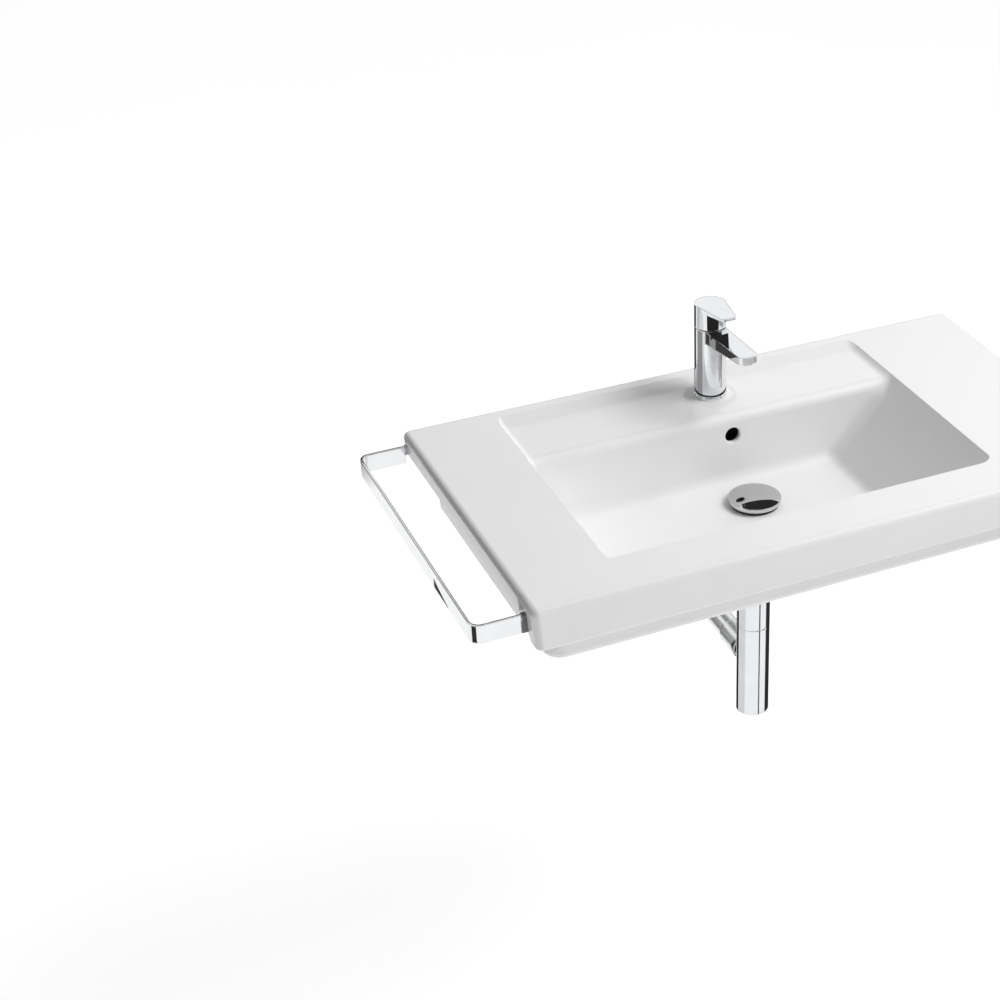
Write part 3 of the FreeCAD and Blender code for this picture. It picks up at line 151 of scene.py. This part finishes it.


# polished chrome: faint haze, hairlines from wiping and softened edges
# the outlet arm is duller, and the cover in the bowl is painted darker: a shaded copy of the chrome,
# painted shade in its reflection
chromeLooks = {
    "polishedChrome": {
        "dark": (0.80, 0.81, 0.83),
        "light": (0.86, 0.87, 0.88),
        "rough": (0.02, 0.06),
        "edge": 0.002,
    },
    "railChrome": {
        "dark": (0.84, 0.85, 0.86),
        "light": (0.89, 0.90, 0.91),
        "rough": (0.02, 0.05),
        "edge": 0.0024,
    },
    "armChrome": {
        "dark": (0.84, 0.85, 0.86),
        "light": (0.89, 0.90, 0.91),
        "rough": (0.26, 0.32),
        "edge": 0.002,
    },
    # painted shade: the cover's chrome, darker than the rest
    "shadedCoverChrome": {
        "dark": (0.60, 0.605, 0.61),
        "light": (0.66, 0.665, 0.67),
        "rough": (0.02, 0.06),
        "edge": 0.002,
    },
}
chromeMarks = {
    "haze": {"scale": 30.0, "detail": 5.0},
    "hair": {"scale": 90.0, "detail": 6.0, "stretch": (1, 1, 7)},
    "hairBand": (0.35, 0.75),
    "edgeSamples": 6,
}
ownChrome = {
    "towel_rail": "railChrome",
    "waste_cover": "shadedCoverChrome",
    "outlet_pipe": "armChrome",
    "outlet_nut": "armChrome",
    "wall_rosette": "armChrome",
}


def makeChrome(name):
    look = chromeLooks[name]
    material, tree, shader = startMaterial(name)
    colour = tint(tree, noiseAt(tree, **chromeMarks["haze"]), look)
    hair = noiseAt(tree, **chromeMarks["hair"])
    dress(tree, shader, colour, spread(tree, hair, *look["rough"], chromeMarks["hairBand"]))
    soft = addNode(tree, "ShaderNodeBevel", samples=chromeMarks["edgeSamples"], Radius=look["edge"])
    tree.links.new(soft.outputs["Normal"], shader.inputs["Normal"])
    shader.inputs["Metallic"].default_value = 1.0
    return material


# turned metals under the deck and inside the tap, with fine rings from the lathe
metalLooks = {
    "turnedBrass": {
        "dark": (0.60, 0.44, 0.17),
        "light": (0.74, 0.57, 0.26),
        "rough": (0.22, 0.38),
        "rings": 900.0,
    },
    "plainSteel": {
        "dark": (0.50, 0.51, 0.53),
        "light": (0.64, 0.65, 0.67),
        "rough": (0.25, 0.40),
        "rings": 700.0,
    },
}
metalMarks = {
    "cloud": {"scale": 60.0, "detail": 4.0},
    "ringDetail": 2.0,
    "ringStretch": (0.05, 0.05, 1),
    "ringStrength": 0.3,
    "ringDepth": 0.00005,
}


def makeTurnedMetal(name):
    look = metalLooks[name]
    material, tree, shader = startMaterial(name)
    colour = tint(tree, noiseAt(tree, **metalMarks["cloud"]), look)
    rings = noiseAt(tree, look["rings"], metalMarks["ringDetail"], metalMarks["ringStretch"])
    dress(tree, shader, colour, spread(tree, rings, *look["rough"]))
    dent(tree, shader, rings, metalMarks["ringStrength"], metalMarks["ringDepth"])
    shader.inputs["Metallic"].default_value = 1.0
    return material


# moulded rubbers, plastics and the fired valve discs
# the rear pad of the rail doesn't show in the photo, so it is painted paler than the front one: painted
# light on the same grey
mouldedLooks = {
    "sealRubber": {
        "dark": (0.030, 0.030, 0.032),
        "light": (0.055, 0.055, 0.058),
        "rough": (0.55, 0.75),
        "grain": 500.0,
        "depth": 0.00006,
    },
    "railPadGrey": {
        "dark": (0.16, 0.16, 0.165),
        "light": (0.21, 0.21, 0.215),
        "rough": (0.42, 0.58),
        "grain": 900.0,
        "depth": 0.00005,
        # painted light: the grey is 3.2 times lighter behind this depth
        "pale": 3.2,
        "paleBand": (-0.2, -0.199),
    },
    "whiteAcetal": {
        "dark": (0.74, 0.74, 0.71),
        "light": (0.82, 0.82, 0.79),
        "rough": (0.32, 0.45),
        "grain": 700.0,
        "depth": 0.00003,
    },
    "firedDisc": {
        "dark": (0.78, 0.75, 0.67),
        "light": (0.86, 0.83, 0.76),
        "rough": (0.10, 0.22),
        "grain": 1200.0,
        "depth": 0.00001,
    },
}
mouldedMarks = {
    "cloud": {"scale": 45.0, "detail": 4.0},
    "grainDetail": 3.0,
    "grainStrength": 0.5,
}


# painted light: lightens the colour of whatever lies behind a given depth
def paintedLightBehind(tree, colour, look):
    place = addNode(tree, "ShaderNodeTexCoord")
    depth = splitSides(tree, place.outputs["Object"])["Y"]
    paler = onVector(tree, "SCALE", colour)
    tree.links.new(spread(tree, depth, 1.0, look["pale"], look["paleBand"]), paler.inputs["Scale"])
    return paler.outputs[0]


def makeMoulded(name):
    look = mouldedLooks[name]
    material, tree, shader = startMaterial(name)
    colour = tint(tree, noiseAt(tree, **mouldedMarks["cloud"]), look)
    if "pale" in look:
        colour = paintedLightBehind(tree, colour, look)
    grain = noiseAt(tree, look["grain"], mouldedMarks["grainDetail"])
    dress(tree, shader, colour, spread(tree, grain, *look["rough"]))
    dent(tree, shader, grain, mouldedMarks["grainStrength"], look["depth"])
    return material


# finishes by the record's slots; a few chrome pieces have their own
chromes = {name: makeChrome(name) for name in chromeLooks}
finishes = {
    "glazed": makeGlaze(),
    "chrome": chromes["polishedChrome"],
    "brass": makeTurnedMetal("turnedBrass"),
    "steel": makeTurnedMetal("plainSteel"),
    "rubber": makeMoulded("sealRubber"),
    "grey_plastic": makeMoulded("railPadGrey"),
    "white_plastic": makeMoulded("whiteAcetal"),
    "disc_ceramic": makeMoulded("firedDisc"),
}
ownFinishes = {node: chromes[name] for node, name in ownChrome.items()}
for part in frame["record"]["subparts"]:
    finish = ownFinishes.get(part["node"], finishes[part["material_slot"]])
    for slot in nodes[part["node"]].material_slots:
        slot.link = "OBJECT"
        slot.material = finish
print("finishes set on", len(nodes), "pieces")


# studio helpers
def startStudio(name):
    material, tree = startMaterial(name)[:2]
    tree.nodes.clear()
    out = addNode(tree, "ShaderNodeOutputMaterial")
    return material, tree, out.inputs["Surface"]


def seenDirectly(tree):
    path = addNode(tree, "ShaderNodeLightPath").outputs
    seen = combine(tree, "MAXIMUM", path["Is Camera Ray"], path["Is Glossy Ray"])
    return combine(tree, "MAXIMUM", seen, path["Is Transmission Ray"])


def placeHolder(name, data, place, back):
    holder = bpy.data.objects.new(name, data)
    holder.location = place
    holder.rotation_mode = "QUATERNION"
    holder.rotation_quaternion = Vector(back).to_track_quat("Z", "Y")
    bpy.context.scene.collection.objects.link(holder)
    return holder


def makeSheet(name, points, faces, material):
    mesh = bpy.data.meshes.new(name)
    mesh.from_pydata(points, [], faces)
    mesh.materials.append(material)
    return mesh


def addPlane(name, size, place, normal, material):
    across, up = size[0] / 2, size[1] / 2
    corners = [(-across, -up, 0), (across, -up, 0), (across, up, 0), (-across, up, 0)]
    return placeHolder(name, makeSheet(name, corners, [(0, 1, 2, 3)], material), place, normal)


def hideFrom(sheet, *rays):
    for ray in rays:
        setattr(sheet, "visible_" + ray, False)


# pale floor: white to the camera, with the shadow kept
floorSetup = {
    "height": -0.79,
    "size": (40.0, 40.0),
    "dark": (0.79, 0.79, 0.79),
    "light": (0.81, 0.81, 0.81),
    "drift": {"scale": 0.7, "detail": 3.0},
    "glow": 0.43,  # what lights the object from below
    "lift": 0.60,  # what the camera and mirrors see
}


def makeFloor():
    material, tree, surface = startStudio("paleFloor")
    paint = addNode(tree, "ShaderNodeBsdfDiffuse")
    drift = noiseAt(tree, **floorSetup["drift"])
    tree.links.new(tint(tree, drift, floorSetup), paint.inputs["Color"])
    glow = addNode(tree, "ShaderNodeEmission")
    strength = spread(tree, seenDirectly(tree), floorSetup["glow"], floorSetup["lift"], (0.0, 1.0))
    tree.links.new(strength, glow.inputs["Strength"])
    both = addNode(tree, "ShaderNodeAddShader")
    tree.links.new(paint.outputs[0], both.inputs[0])
    tree.links.new(glow.outputs[0], both.inputs[1])
    tree.links.new(both.outputs[0], surface)
    floor = addPlane("floor", floorSetup["size"], (0, 0, floorSetup["height"]), (0, 0, 1), material)
    hideFrom(floor, "glossy")  # metal mirrors the sky of the studio instead


makeFloor()

# studio light: a soft sky that is bright to the right and falls off to the left, and a large soft box
skySetup = {"bright": (0.96, 0.285, 0.0), "dimmest": -0.9, "high": 0.95}
softBoxes = {
    "frontTop": {"place": (1.5, -1.0, 1.95), "aim": (0.0, -0.3, 0), "size": (1.3, 1.3), "power": 43.0},
}

# dark studio flags that only mirror finishes see, all in degrees: turn from the front, half width, heights
darkFlags = {
    "highBack": {"turn": 154, "half": 48, "low": 36, "high": 58, "dark": 0.97},
    "behindCamera": {"turn": -26, "half": 50, "low": 27, "high": 66, "dark": 0.95},
    "frontLow": {"turn": 0, "half": 60, "low": 9, "high": 27, "dark": 0.97},
    "innerEdges": {"turn": 155, "half": 16, "low": -26, "high": 6, "dark": 0.97},
    "outerEdges": {"turn": -147, "half": 12, "low": -24, "high": 22, "dark": 0.97},
    "tapLeft": {"turn": -178, "half": 29, "low": -29.8, "high": 4, "dark": 0.95},
    "tapBand": {"turn": -102, "half": 31, "low": -29.8, "high": 4, "dark": 0.45},
    "tapLine": {"turn": 50, "half": 5, "low": -29.8, "high": 4, "dark": 0.6},
}
flagEdge = {"turn": 0.7, "rise": 0.01}  # soft edges: degrees to each side, sine of the height


def flagMask(tree, direction):
    flat = onVector(tree, "MULTIPLY", direction, (1, 1, 0))
    level = onVector(tree, "NORMALIZE", flat.outputs[0]).outputs[0]
    height = splitSides(tree, direction)["Z"]
    total = None
    for flag in darkFlags.values():
        turn = math.radians(flag["turn"])
        facing = onVector(tree, "DOT_PRODUCT", level, (math.sin(turn), -math.cos(turn), 0))
        outer = math.cos(math.radians(flag["half"] + flagEdge["turn"]))
        inner = math.cos(math.radians(flag["half"] - flagEdge["turn"]))
        mask = spread(tree, facing.outputs["Value"], 0.0, flag["dark"], (outer, inner))
        for limit, below, above in (("low", 0.0, 1.0), ("high", 1.0, 0.0)):
            rise = math.sin(math.radians(flag[limit]))
            band = (rise - flagEdge["rise"], rise + flagEdge["rise"])
            mask = combine(tree, "MULTIPLY", mask, spread(tree, height, below, above, band))
        total = mask if total is None else combine(tree, "MAXIMUM", total, mask)
    path = addNode(tree, "ShaderNodeLightPath")
    mirrored = combine(tree, "MULTIPLY", total, path.outputs["Is Glossy Ray"])
    return spread(tree, mirrored, 1.0, 0.0, (0.0, 1.0))


def makeSky():
    world = bpy.data.worlds.new("studio")
    bpy.context.scene.world = world
    world.use_nodes = True
    tree = world.node_tree
    tree.nodes.clear()
    out = addNode(tree, "ShaderNodeOutputWorld")
    direction = addNode(tree, "ShaderNodeTexCoord").outputs["Generated"]
    bright = Vector(skySetup["bright"]).normalized()
    toward = onVector(tree, "DOT_PRODUCT", direction, bright).outputs["Value"]
    light = spread(tree, toward, 0.0, skySetup["high"], (skySetup["dimmest"], 1.0))
    mix = addNode(tree, "ShaderNodeMixShader")
    tree.links.new(seenDirectly(tree), mix.inputs["Fac"])
    for index, strength in enumerate((light, flagMask(tree, direction)), 1):
        sky = addNode(tree, "ShaderNodeBackground", Color=(1, 1, 1, 1))
        tree.links.new(strength, sky.inputs["Strength"])
        tree.links.new(sky.outputs[0], mix.inputs[index])
    tree.links.new(mix.outputs[0], out.inputs["Surface"])


def makeSoftBox(name, box):
    lamp = bpy.data.lights.new(name, "AREA")
    lamp.shape = "RECTANGLE"
    lamp.size, lamp.size_y = box["size"]
    lamp.energy = box["power"]
    holder = placeHolder(name, lamp, box["place"], Vector(box["place"]) - Vector(box["aim"]))
    hideFrom(holder, "glossy")


makeSky()
for boxName, box in softBoxes.items():
    makeSoftBox(boxName, box)

# a flag off the right end keeps the bright side of the studio from burning it out
endFlag = {"size": (0.90, 0.34), "place": (0.62, -0.23, -0.05), "faces": (1, 0, 0)}


def makeEndFlag():
    sheet = addPlane("endFlag", endFlag["size"], endFlag["place"], endFlag["faces"], finishes["rubber"])
    hideFrom(sheet, "camera", "glossy", "transmission", "volume_scatter")


makeEndFlag()

# small studio cards that only mirror finishes see, bent round an axis: turn from the front and half width
# in degrees, heights over each set's foot in metres
cardSets = {
    "tap": {
        "axis": (0, -0.0735),
        "foot": 0.057,
        "radius": 0.034,
        "cards": {
            "LeftBand": {"turn": -84.5, "half": 18, "low": 0.002, "high": 0.094, "tone": 0.30},
            "LeftEdge": {"turn": -153, "half": 15, "low": 0.002, "high": 0.125, "tone": 0.04},
            "RightLine": {"turn": 33.6, "half": 3.1, "low": 0.010, "high": 0.058, "tone": 0.22},
            "UnderLever": {"turn": -12.75, "half": 29.75, "low": 0.096, "high": 0.124, "tone": 0.02},
            "Foot": {
                "turn": 0, "half": 180, "low": 0.0003, "high": 0.0003, "tone": 0.03,
                "radii": (0.0295, 0.036),  # a flat ring
            },
        },
    },
    "trap": {
        "axis": (0, -0.2065),
        "foot": -0.46,
        "radius": 0.040,
        "cards": {
            "LeftEdge": {"turn": -130, "half": 16, "low": 0, "high": 0.36, "tone": 0.03},
            "LeftGrey": {"turn": -87.9, "half": 21.8, "low": 0, "high": 0.36, "tone": 0.75},
            "FrontLine": {"turn": 7.5, "half": 3.2, "low": 0, "high": 0.36, "tone": 0.03},
            "RightBand": {"turn": 83.3, "half": 35.4, "low": 0, "high": 0.36, "tone": 0.03},
        },
    },
    "rail": {
        "axis": (-0.453, -0.421),
        "foot": 0.008,
        "radius": 0.030,
        "cards": {"Corner": {"turn": -60.6, "half": 19, "low": 0, "high": 0.029, "tone": 0.03}},
    },
    "railSide": {
        "axis": (-1.476, -0.298),
        "foot": 0.0,
        "radius": 1.0,
        "cards": {
            # painted reflection: a dark card that lies as a streak on the side of the rail
            "DarkReflection": {"turn": 90, "half": 1.4, "low": 0, "high": 0.0025, "highEnd": 0.014, "tone": 0.06},
        },
    },
    "railInner": {
        "axis": (4.555, -0.2265),
        "foot": 0.036,
        "radius": 5.0,
        "cards": {"Line": {"turn": -90, "half": 2.19, "low": 0, "high": 0.042, "tone": 0.03}},
    },
    "railOuter": {
        "axis": (-5.488, -0.13),
        "foot": 0.036,
        "radius": 5.0,
        "cards": {"Line": {"turn": 90, "half": 1.7, "low": 0, "high": 0.032, "tone": 0.03}},
    },
    "railFront": {
        "axis": (-0.43, 4.587),
        "foot": 0.036,
        "radius": 5.0,
        "cards": {"Line": {"turn": 0, "half": 0.33, "low": 0, "high": 0.036, "tone": 0.03}},
    },
    "railRear": {
        "axis": (-0.435, 5.009),
        "foot": 0.036,
        "radius": 5.0,
        "cards": {"Line": {"turn": 0, "half": 0.4, "low": 0, "high": 0.036, "tone": 0.03}},
    },
}
cardSteps = 24  # flat strips in one bent card


def addCard(name, cardSet, card):
    points, faces = [], []
    radii = card.get("radii", (cardSet["radius"], cardSet["radius"]))
    for step in range(cardSteps + 1):
        share = step / cardSteps
        turn = math.radians(card["turn"] + card["half"] * (2 * share - 1))
        high = card["high"] + (card.get("highEnd", card["high"]) - card["high"]) * share
        for height, radius in zip((card["low"], high), radii):
            x = cardSet["axis"][0] + radius * math.sin(turn)
            y = cardSet["axis"][1] - radius * math.cos(turn)
            points.append((x, y, cardSet["foot"] + height))
    for first in range(0, 2 * cardSteps, 2):
        faces.append((first, first + 2, first + 3, first + 1))
    material, tree, surface = startStudio(name)
    glow = addNode(tree, "ShaderNodeEmission", Strength=card["tone"])
    tree.links.new(glow.outputs[0], surface)
    sheet = bpy.data.objects.new(name, makeSheet(name, points, faces, material))
    bpy.context.scene.collection.objects.link(sheet)
    hideFrom(sheet, "camera", "diffuse", "transmission", "volume_scatter", "shadow")


for setName, cardSet in cardSets.items():
    for cardName, card in cardSet["cards"].items():
        addCard(setName + cardName, cardSet, card)
print("floor and light set")

# camera: in front and to the left, looking down; shifted, because the photo is cut at its right
viewSetup = {
    "target": (-0.1218, -0.3262, 0.062),
    "azimuth": -25.62,
    "elevation": 31.22,
    "distance": 2.438,
    "lens": 72.73,
    "sensor": 36.0,
    "shift": -0.21,
    "farthest": 100.0,
}


def makeCamera():
    turn, rise = math.radians(viewSetup["azimuth"]), math.radians(viewSetup["elevation"])
    back = Vector((math.sin(turn) * math.cos(rise), -math.cos(turn) * math.cos(rise), math.sin(rise)))
    data = bpy.data.cameras.new("viewCamera")
    data.sensor_width = viewSetup["sensor"]
    data.lens = viewSetup["lens"]
    data.shift_x = viewSetup["shift"]
    data.clip_end = viewSetup["farthest"]
    place = Vector(viewSetup["target"]) + back * viewSetup["distance"]
    bpy.context.scene.camera = placeHolder("viewCamera", data, place, back)


makeCamera()
bpy.context.scene.view_settings.view_transform = "Standard"
print("camera set")
